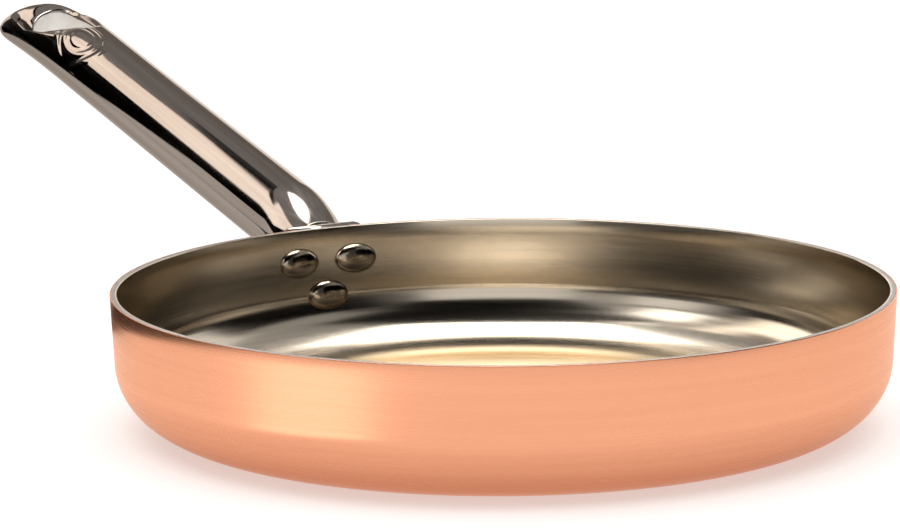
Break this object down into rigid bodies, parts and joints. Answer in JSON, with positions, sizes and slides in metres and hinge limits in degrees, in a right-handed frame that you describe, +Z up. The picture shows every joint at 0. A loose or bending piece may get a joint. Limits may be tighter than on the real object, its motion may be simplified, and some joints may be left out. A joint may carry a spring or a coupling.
{
  "type": "round pan with tubular handle",
  "caption": "Low round copper pan with a brushed steel lining, a rounded lower edge and a riveted tubular steel handle that ends in a hanging eye.",
  "frame": {"origin": "centre of the flat base's underside", "axes": "+Z up along the pan's axis, +X from the pan's centre along the handle, +Y to the left of the handle"},
  "size_m": [0.5661, 0.28, 0.1087],
  "materials": {
    "copper": "copper, satin-brushed round the body",
    "aluminium": "plain rolled aluminium, seen only at the rim",
    "lining": "stainless steel, brushed round the body",
    "handle_steel": "stainless steel, polished",
    "weld_steel": "stainless steel weld, ground",
    "rivet_steel": "stainless steel, polished"
  },
  "bodies": {
    "root": {"copper_shell": "copper", "aluminium_core": "aluminium", "steel_lining": "lining", "handle_flange": "handle_steel", "handle_tube": "handle_steel", "handle_weld": "weld_steel", "rivet_upper_left": "rivet_steel", "rivet_upper_right": "rivet_steel", "rivet_lower": "rivet_steel"}
  },
  "joints": []
}
